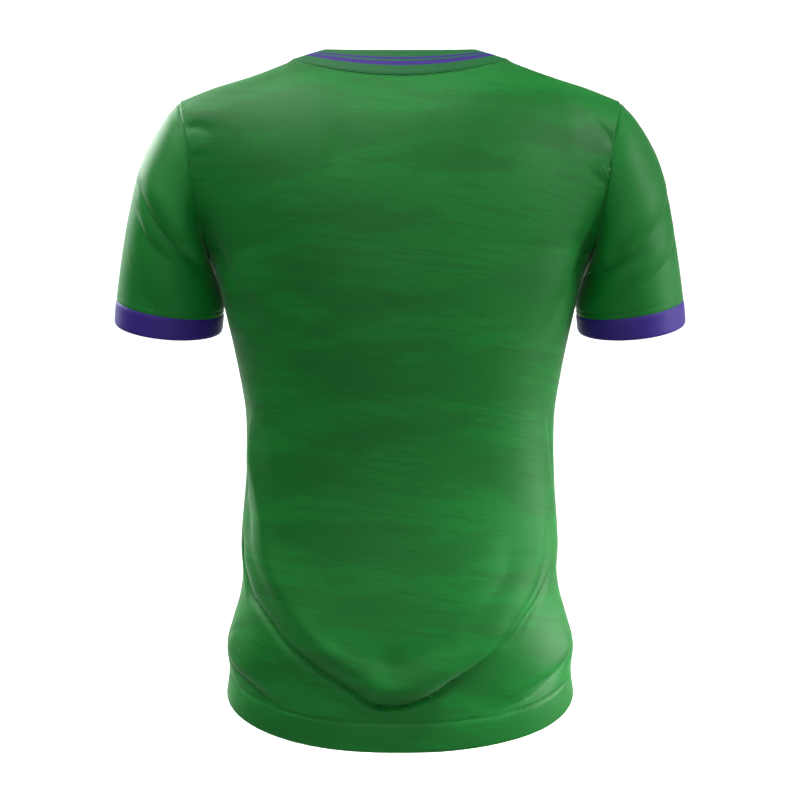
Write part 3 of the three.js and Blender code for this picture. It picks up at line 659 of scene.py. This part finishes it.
def knitLoops(tree, place):  # 0 to 1: the loops of the knit, a fine upright rib crossed by rows
    apart = addNode(tree, "ShaderNodeSeparateXYZ", (), {0: place})
    wales, courses = [
        calculate(tree, "SINE", calculate(tree, "MULTIPLY", apart.outputs[k], 2 * math.pi / spacing))
        for k, spacing in enumerate((knit["wale"], knit["course"]))]
    share = knit["courseShare"]
    both = calculate(tree, "ADD", wales, calculate(tree, "MULTIPLY", courses, share))
    return mapRange(tree, both, -1 - share, 1 + share)


def blendColours(tree, share, first, second):
    node = addNode(tree, "ShaderNodeMix", {"data_type": "RGBA", "clamp_factor": True},
                   {0: share, 6: first, 7: second})
    return node.outputs[2]


# slow cloudy variation of the dye, over spots of a size in millimetres
def dyed(tree, place, size, seed, colour, deeper):
    return blendColours(tree, noise(tree, place, seed, 1 / size, 3, 0.55), linearColour(colour),
                        linearColour(deeper))


def printed(tree, place, base):  # the streaks of the print, over the cloth's own colour
    level, fringe = clothPlace(tree, "print"), tonalPrint["fringe"]
    for length, height, slant, low, high, strength, seed in tonalPrint["layers"]:
        streaks = noise(tree, drawnOut(tree, level, length, height, slant), seed, 1, 2.5, 0.45, 0.35)
        bristles = noise(tree, drawnOut(tree, level, *tonalPrint["bristles"]), seed + 4, 1, 1)
        spread = calculate(tree, "MULTIPLY_ADD", bristles, fringe, -fringe / 2)
        mask = mapRange(tree, calculate(tree, "ADD", streaks, spread), low, high, 0, strength,
                        "SMOOTHSTEP")
        ink = dyed(tree, place, 60, seed, knit["print"], knit["printDeep"])
        base = blendColours(tree, mask, base, ink)
    return base


def knitMaterial(name, colour, deeper, isPrinted=False):
    material, tree, shader = startMaterial(name, knit["roughness"], knit["sheen"])
    place = clothPlace(tree)
    base = dyed(tree, place, 90, 1.5, colour, deeper)
    if isPrinted:
        base = printed(tree, place, base)
    loops = knitLoops(tree, place)
    # painted shade and painted highlight: the colour is darker in the hollows between the knit's loops
    # and lighter on their tops
    shade = mapRange(tree, loops, 0, 1, 1 - knit["loopShade"], 1 + knit["loopShade"])
    loopShadedBase = addNode(tree, "ShaderNodeVectorMath", {"operation": "SCALE"}, {0: base, "Scale": shade})
    tree.links.new(loopShadedBase.outputs[0], shader.inputs["Base Color"])
    bump = addNode(tree, "ShaderNodeBump", (), {
        "Height": loops, "Strength": knit["bump"], "Distance": knit["relief"]})
    tree.links.new(bump.outputs[0], shader.inputs["Normal"])
    return material


def ribMaterial():
    material, tree, shader = startMaterial("rib-knit polyester, striped", ribKnit["roughness"],
                                           knit["sheen"])
    place = clothPlace(tree)
    up = addNode(tree, "ShaderNodeSeparateXYZ", (), {0: place}).outputs[1]
    colour = dyed(tree, place, 60, 6.5, ribKnit["green"], ribKnit["greenDeep"])
    full, soft = collar["layoutHeight"], ribKnit["stripeSoftness"]
    for low, high in (ribKnit["thin"], ribKnit["thick"]):
        middle, half = (low + high) / 2, (high - low) / 2
        away = calculate(tree, "ABSOLUTE", calculate(tree, "SUBTRACT", up, middle * full))
        mask = mapRange(tree, away, half * full - soft, half * full + soft, 1, 0)
        colour = blendColours(tree, mask, colour, linearColour(ribKnit["stripe"]))
    tree.links.new(colour, shader.inputs["Base Color"])
    return material


def threadMaterial():
    material, tree, shader = startMaterial("spun polyester thread, green", thread["roughness"],
                                           knit["sheen"])
    place = addNode(tree, "ShaderNodeTexCoord")
    twist = addNode(tree, "ShaderNodeTexNoise", (), {
        "Vector": place.outputs["Object"], "Scale": thread["twist"]})
    base = blendColours(tree, twist.outputs[0], linearColour(thread["green"]),
                        linearColour(knit["greenDeep"]))
    tree.links.new(base, shader.inputs["Base Color"])
    return material


# smooth, slightly lustrous knit; the body's is printed with soft streaks in a deeper green
printedGreen = knitMaterial("polyester interlock, sublimation printed green", knit["green"],
                            knit["greenDeep"], True)
plainGreen = knitMaterial("polyester interlock, dyed green", knit["green"], knit["greenDeep"])
plainPurple = knitMaterial("polyester interlock, dyed purple", knit["purple"], knit["purpleDeep"])
stripedRib = ribMaterial()          # duller than the knit, with two stripes
greenThread = threadMaterial()      # duller than the cloth, so that the stitches show
print("stage: materials made")

# The bare surfaces, and the outward directions that meeting pieces share
cloths = {
    "backPanel": dict(grid=panelGrid(True), closed=False),
    "frontPanel": dict(grid=panelGrid(False), closed=False),
}
for hand in ("left", "right"):
    isLeft = hand == "left"
    sleeveGrid = tubeGrid(0, 1, detail["sleeveRows"] * detail["finer"], isLeft)
    cuffGrid = tubeGrid(1, sleeve["cuffEnd"], detail["cuffRows"], isLeft)
    cloths[hand + "Sleeve"] = dict(grid=sleeveGrid, closed=True)
    cloths[hand + "Cuff"] = dict(grid=cuffGrid, closed=True)
for cloth in cloths.values():
    cloth["outward"] = outwardOf(cloth["grid"], cloth["closed"])
allPoints = np.concatenate([cloth["grid"].reshape(-1, 3) for cloth in cloths.values()])
allOutward = np.concatenate([cloth["outward"].reshape(-1, 3) for cloth in cloths.values()])
pointsPerMillimetre = 40          # points that round to the same fortieth are one place
shared, places = np.unique(np.round(allPoints * pointsPerMillimetre).astype(np.int64), axis=0,
                           return_inverse=True)
places = places.ravel()
sums = np.zeros((len(shared), 3))
np.add.at(sums, places, allOutward)
allOutward = sums[places] / np.linalg.norm(sums[places], axis=1, keepdims=True)
start = 0
for cloth in cloths.values():
    count = cloth["grid"].shape[0] * cloth["grid"].shape[1]
    cloth["outward"] = allOutward[start:start + count].reshape(cloth["grid"].shape)
    start += count
print("stage: surfaces laid out", len(allPoints), "points")


def clothOf(names):
    return [np.concatenate([cloths[name][key].reshape(-1, 3) for name in names])
            for key in ("grid", "outward")]


bodyCloth = clothOf(["backPanel", "frontPanel"])


def surfaceOf(key):  # a bare surface, and how far each point is along its row and its column
    cloth = cloths[key]
    grid = cloth["grid"]
    return cloth, grid, cloth["outward"], alongRows(grid), alongColumns(grid)


def makePanel(key, isBack):
    cloth, grid, outward, across, down = surfaceOf(key)
    rows, columns = grid.shape[:2]
    fromSide = np.minimum(across, across[:, -1:] - across)
    fromHem = down[-1:] - down
    half = columns // 2
    isShoulder = np.abs(np.arange(columns) - half)[None, :] > detail["neckColumns"] * detail["finer"]
    yokeRows = detail["yokeRows"] * detail["finer"]
    isYoke = (np.arange(rows) < yokeRows)[:, None]
    band = body["hemBand"]
    relief = np.where(isYoke, edge(fromSide, "seam"), edge(fromSide, "softSeam"))
    relief += edge(fromSide, "sideAllowance")
    relief += edge(down, "seam") + edge(down, "topStitches")
    relief += edge(down, "topRoll")
    hemStep = 1 - smoothstep(band - 0.8, band + 1, fromHem)
    relief += body["hemLift"] * hemStep + edge(fromHem, "hemStitches")
    relief += edge(fromHem, "hemEdge")
    seamWay = down + (0 if isBack else 40)           # the two panels pucker out of step
    relief += puckers(fromSide, seamWay, np.where(isYoke, 0.42, 0.2), 8) * smoothstep(0, 3, fromSide)
    relief += puckers(np.abs(fromHem - band), across, 0.16, 5)
    relief += puckers(down, across, np.where(isShoulder, 0.2, 0.12), 5) * smoothstep(0, 2, down)
    clear = smoothstep(0, fullFrom["top"], down)
    clear = clear * np.where(isYoke, smoothstep(0, fullFrom["side"], fromSide), 1)
    folds = foldHeights(grid.reshape(-1, 3), bodyFolds, bodyCloth).reshape(rows, columns)
    waves = softWaves(grid) * np.where(isYoke, waveShare["yoke"], waveShare["body"])
    waves = waves * smoothstep(0, fullFrom["wavesTop"], down)
    outer = grid + outward * (relief + clear * (folds + waves))[..., None]
    hemShare = 1 - smoothstep(band - 0.8, band + 0.8, fromHem)
    thickness = lerp(body["thickness"], body["hemThickness"], hemShare)
    uv = np.stack([across - across[:, half:half + 1], down[yokeRows] - down], axis=-1)
    levelWay = alongRows(grid * np.array([1, 1, 0]))     # the print's streaks stay level
    printUv = np.stack([levelWay - levelWay[:, half:half + 1], grid[..., 2]], axis=-1)
    cloth.update(down=down, fromHem=fromHem, isShoulder=isShoulder[0])
    return shell(key, outer, thickness, {"cloth": uv, "print": printUv}, printedGreen)


def makeSleeve(hand):
    key = hand + "Sleeve"
    cloth, grid, outward, across, down = surfaceOf(key)
    fromCuff = down[-1:] - down
    relief = edge(down, "seam") + edge(down, "sleeveAllowance")
    relief += edge(fromCuff, "softSeam") + edge(fromCuff, "sleeveStitches")
    relief += puckers(down, across + 9, 0.3, 7) * smoothstep(0, 3, down)
    relief += puckers(np.abs(fromCuff - sleeve["stitchAboveCuff"]), across, 0.14, 5)
    clear = smoothstep(0, fullFrom["sleeveTop"], down) * smoothstep(0, fullFrom["cuff"], fromCuff)
    folds = foldHeights(grid.reshape(-1, 3), sleeveFolds[hand], clothOf([key])).reshape(down.shape)
    waves = softWaves(grid) * waveShare["sleeve"]
    outer = grid + outward * (relief + clear * (folds + waves))[..., None]
    cloth.update(fromCuff=fromCuff)
    uv = np.stack([across, -down], axis=-1)
    return shell(key, outer, np.full(down.shape, sleeve["thickness"]), {"cloth": uv}, plainGreen)


def makeCuff(hand):
    key = hand + "Cuff"
    _, grid, outward, across, down = surfaceOf(key)
    relief = edge(down, "softSeam") + sleeve["cuffLift"] * smoothstep(0, 2.4, down)
    relief += edge(down[-1:] - down, "cuffEdge")
    relief += puckers(down, across, 0.1, 6) * smoothstep(0, 2, down)
    outer = grid + outward * relief[..., None]
    uv = np.stack([across, -down], axis=-1)
    return shell(key, outer, np.full(down.shape, sleeve["cuffThickness"]), {"cloth": uv}, plainPurple)


def makeCollar():
    key, grid = "collarRib", collarGrid()
    cloths[key] = dict(grid=grid, outward=outwardOf(grid, True), closed=True)
    _, grid, outward, across, down = surfaceOf(key)
    rows, columns = down.shape
    fromSeam = down[-1:] - down
    ribs = np.cos(2 * math.pi * collar["ribs"] * np.arange(columns) / columns)[None, :]
    ribs = collar["ribHeight"] / 2 * ribs * smoothstep(0, 3, down) * smoothstep(0, 2, fromSeam)
    relief = collar["lift"] + ribs
    relief = relief + edge(down, "collarEdge") + edge(fromSeam, "collarSeam")
    relief = relief + edge(fromSeam, "collarRoll")
    outer = grid + outward * relief[..., None]
    share = np.arange(rows)[:, None] / (rows - 1) + np.zeros((1, columns))
    uv = np.stack([across, share * collar["layoutHeight"]], axis=-1)
    return shell(key, outer, np.full(down.shape, collar["thickness"]), {"cloth": uv}, stripedRib)


backPanel = makePanel("backPanel", True)
frontPanel = makePanel("frontPanel", False)
print("stage: panels made")
leftSleeve, rightSleeve = makeSleeve("left"), makeSleeve("right")
leftCuff, rightCuff = makeCuff("left"), makeCuff("right")
collarRib = makeCollar()
print("stage: sleeves, cuffs and collar made")


# Stitches. A line is traced on the finished cloth, and Geometry Nodes lay stitches along it.
def tracedLine(cloth, distance, value, columns):
    order = 1 if distance[-1, 0] > distance[0, 0] else -1
    lifted = cloth["outer"] + cloth["outward"] * thread["lift"]
    return [[np.interp(value, distance[::order, c], lifted[::order, c, k]) for k in range(3)]
            for c in columns]


def sewingTree():
    tree = bpy.data.node_groups.new("lockstitch along a line", "GeometryNodeTree")
    sockets = {}
    for name, kind in (("Line", "NodeSocketGeometry"), ("Pitch", "NodeSocketFloat"),
                       ("Stitch length", "NodeSocketFloat"), ("Thread width", "NodeSocketFloat"),
                       ("Thread", "NodeSocketMaterial")):
        sockets[name] = tree.interface.new_socket(name, in_out="INPUT", socket_type=kind).identifier
    tree.interface.new_socket("Stitches", in_out="OUTPUT", socket_type="NodeSocketGeometry")
    given = addNode(tree, "NodeGroupInput")
    curve = addNode(tree, "GeometryNodeMeshToCurve", (), {"Mesh": given.outputs["Line"]})
    dots = addNode(tree, "GeometryNodeCurveToPoints", {"mode": "LENGTH"},
                   {"Curve": curve.outputs[0], "Length": given.outputs["Pitch"]})
    turn = addNode(tree, "FunctionNodeAlignRotationToVector", {"axis": "X"},
                   {"Vector": dots.outputs["Tangent"]})
    size = addNode(tree, "ShaderNodeCombineXYZ", (), {
        "X": given.outputs["Stitch length"], "Y": given.outputs["Thread width"],
        "Z": given.outputs["Thread width"]})
    bead = addNode(tree, "GeometryNodeMeshUVSphere", (), {"Segments": 6, "Rings": 5, "Radius": 0.5})
    laid = addNode(tree, "GeometryNodeInstanceOnPoints", (), {
        "Points": dots.outputs["Points"], "Instance": bead.outputs["Mesh"],
        "Rotation": turn.outputs[0], "Scale": size.outputs[0]})
    real = addNode(tree, "GeometryNodeRealizeInstances", (), {"Geometry": laid.outputs[0]})
    smooth = addNode(tree, "GeometryNodeSetShadeSmooth", (), {"Geometry": real.outputs[0]})
    painted = addNode(tree, "GeometryNodeSetMaterial", (), {
        "Geometry": smooth.outputs[0], "Material": given.outputs["Thread"]})
    addNode(tree, "NodeGroupOutput", (), {0: painted.outputs[0]})
    return tree, sockets


stitchTree, stitchSockets = sewingTree()


def sew(name, lines, material):
    vertices, edges = [], []
    for line, isLoop in lines:
        first = len(vertices)
        vertices += [[k * millimetre for k in spot] for spot in line]
        edges += [(i, i + 1) for i in range(first, len(vertices) - 1)]
        if isLoop:
            edges.append((len(vertices) - 1, first))
    guideMesh = bpy.data.meshes.new(name + "Guide")
    guideMesh.from_pydata(vertices, edges, [])
    guide = addObject(name + "Guide", guideMesh)
    modifier = guide.modifiers.new("sewing", "NODES")
    modifier.node_group = stitchTree
    for label, value in (("Pitch", thread["pitch"] * millimetre),
                         ("Stitch length", thread["length"] * millimetre),
                         ("Thread width", thread["width"] * millimetre), ("Thread", material)):
        modifier[stitchSockets[label]] = value
    evaluated = guide.evaluated_get(bpy.context.evaluated_depsgraph_get())
    mesh = bpy.data.meshes.new_from_object(evaluated)
    mesh.name = name
    guide.modifiers.remove(modifier)
    bpy.data.objects.remove(guide)
    bpy.data.meshes.remove(guideMesh)
    return addObject(name, mesh)


stitches = {}
fromTop = edgeForms["topStitches"][0]
for key in ("backPanel", "frontPanel"):
    cloth = cloths[key]
    columns = range(cloth["outer"].shape[1])
    neck = [c for c in columns if not cloth["isShoulder"][c]]
    lines = [(tracedLine(cloth, cloth["fromHem"], body["hemBand"], columns[1:-1]), False),
             (tracedLine(cloth, cloth["down"], fromTop, neck), False)]
    if key == "backPanel":
        clear = thread["clearColumns"]
        for shoulder in (columns[clear:neck[0]], columns[neck[-1] + 1:-clear]):
            lines.append((tracedLine(cloth, cloth["down"], fromTop, shoulder), False))
    stitches[key] = sew(key + "Stitches", lines, greenThread)
for key in ("leftSleeve", "rightSleeve"):
    cloth = cloths[key]
    columns = range(cloth["outer"].shape[1])
    lines = [(tracedLine(cloth, cloth["fromCuff"], sleeve["stitchAboveCuff"], columns), True)]
    stitches[key] = sew(key + "Stitches", lines, greenThread)
print("stage: stitches sewn")

# Camera, floor and light: the camera stands behind the garment, level with its middle
view = {"distance": 1.133, "height": -0.3454, "lens": 50, "sensor": 36}
cameraData = bpy.data.cameras.new("camera")
cameraData.lens = view["lens"]
cameraData.sensor_width = view["sensor"]
camera = addObject("camera", cameraData)
camera.location = (0, view["distance"], view["height"])
camera.rotation_euler = (math.pi / 2, 0, math.pi)
bpy.context.scene.camera = camera

studio = {
    # a round floor that bends up into a wall, and how many steps it has round and in its bend
    "floorHeight": -1.05, "floorRadius": 2.3, "bend": 1.1, "wallHeight": 3.0, "hub": 0.01,
    "around": 96, "bendSteps": 16,
    "floorColour": "A6A6A4", "world": 0.01,
    # name, place, aimed at, size, watts, spread in degrees
    "lights": [
        ("key", (-2.0, 0.75, 1.15), (-0.02, 0, -0.4), 0.7, 34, 180),
        ("top", (0.8, 0.35, 1.6), (0.1, 0, -0.1), 1.6, 36, 180),
        ("fill", (0.1, 2.3, 0.3), (0, 0, -0.35), 1.2, 9, 180),
        ("rim", (1.3, -1.0, 0.6), (0.12, 0, -0.68), 0.7, 4.2, 50),
        ("lowRight", (-1.4, 0.1, -0.2), (-0.12, 0, -0.68), 0.5, 1.6, 40),
        ("wallLeft", (0.9, -1.6, 2.2), (0.9, -3, -0.75), 1.2, 92, 105),
        ("wallRight", (-0.9, -1.6, 2.2), (-0.9, -3, -0.75), 1.2, 92, 105),
        ("floor", (0, -1.3, 1.9), (0, -1.65, -1.05), 0.8, 28, 58),
    ],
}
for name, place, target, size, watts, spread in studio["lights"]:
    lightData = bpy.data.lights.new(name, "AREA")
    lightData.shape = "DISK"
    lightData.size = size
    lightData.energy = watts
    lightData.spread = math.radians(spread)
    light = addObject(name, lightData)
    light.location = place
    aim = Vector(target) - Vector(place)
    light.rotation_euler = aim.to_track_quat("-Z", "Y").to_euler()
world = bpy.data.worlds.new("studio")
world.use_nodes = True
background = world.node_tree.nodes["Background"]
background.inputs["Color"].default_value = (1, 1, 1, 1)
background.inputs["Strength"].default_value = studio["world"]
bpy.context.scene.world = world
bpy.context.scene.view_settings.view_transform = "Standard"

radius, bend, around = studio["floorRadius"], studio["bend"], studio["around"]
profile = [(studio["hub"], 0), (radius * 0.5, 0), (radius, 0)]
for step in range(1, studio["bendSteps"] + 1):
    angle = step / studio["bendSteps"] * math.pi / 2
    profile.append((radius + bend * math.sin(angle), bend * (1 - math.cos(angle))))
profile.append((profile[-1][0], studio["wallHeight"]))
floorVertices = [(r * math.cos(2 * math.pi * k / around), r * math.sin(2 * math.pi * k / around),
                  h + studio["floorHeight"]) for r, h in profile for k in range(around)]
floorFaces = [(row * around + k, (row + 1) * around + k, (row + 1) * around + (k + 1) % around,
               row * around + (k + 1) % around)
              for row in range(len(profile) - 1) for k in range(around)]
floorFaces.append(tuple(range(around)))
floorMesh = bpy.data.meshes.new("floor")
floorMesh.from_pydata(floorVertices, [], floorFaces)
floorMesh.polygons.foreach_set("use_smooth", [True] * len(floorMesh.polygons))
floor = addObject("floor", floorMesh)
floorMaterial, floorTree, floorShader = startMaterial("matt studio paint, white", 0.9, 0)
floorShader.inputs["Base Color"].default_value = linearColour(studio["floorColour"])
floorMesh.materials.append(floorMaterial)
print("stage: camera, floor and lights set")


measuredEvery = 4         # the cut is measured along every fourth row and column


def cutOf(cloth):  # a piece's width and length laid flat, and its area, in metres
    spots = cloth["outer"][::measuredEvery, ::measuredEvery]
    if cloth["closed"]:
        spots = np.concatenate([spots, spots[:, :1]], axis=1)
    level = 0 if cloth["closed"] else len(spots) // 3    # a panel's top rows follow its neckline
    width, length = alongRows(spots)[level:, -1].max(), alongColumns(spots)[-1].max()
    area = np.linalg.norm(np.cross(np.diff(spots, axis=1)[:-1], np.diff(spots, axis=0)[:, :-1]),
                          axis=-1).sum()
    return (width * millimetre, length * millimetre), area * millimetre ** 2


# What each piece stands for, its stitches, and the cut of what shows of it
sheets = (
    (backPanel, "back_panel", "green_knit", ["front_panel", "collar_rib"]),
    (frontPanel, "front_panel", "green_knit", ["back_panel", "collar_rib"]),
    (leftSleeve, "sleeve_left", "green_knit", ["back_panel", "front_panel"]),
    (rightSleeve, "sleeve_right", "green_knit", ["back_panel", "front_panel"]),
    (leftCuff, "cuff_left", "purple_knit", ["sleeve_left"]),
    (rightCuff, "cuff_right", "purple_knit", ["sleeve_right"]),
    (collarRib, "collar_rib", "green_rib", ["back_panel", "front_panel"]),
)
for piece, node, slot, holders in sheets:
    key = piece.name
    sewn = [stitches[key]] if key in stitches else []
    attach(piece, "root")
    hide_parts(node)
    for line in sewn:
        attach(line, "root")
    flat, area = cutOf(cloths[key])
    print("cut:", key, [round(side * 1000) for side in flat], "mm", round(area, 4), "square metres")

print("stage: pieces placed")
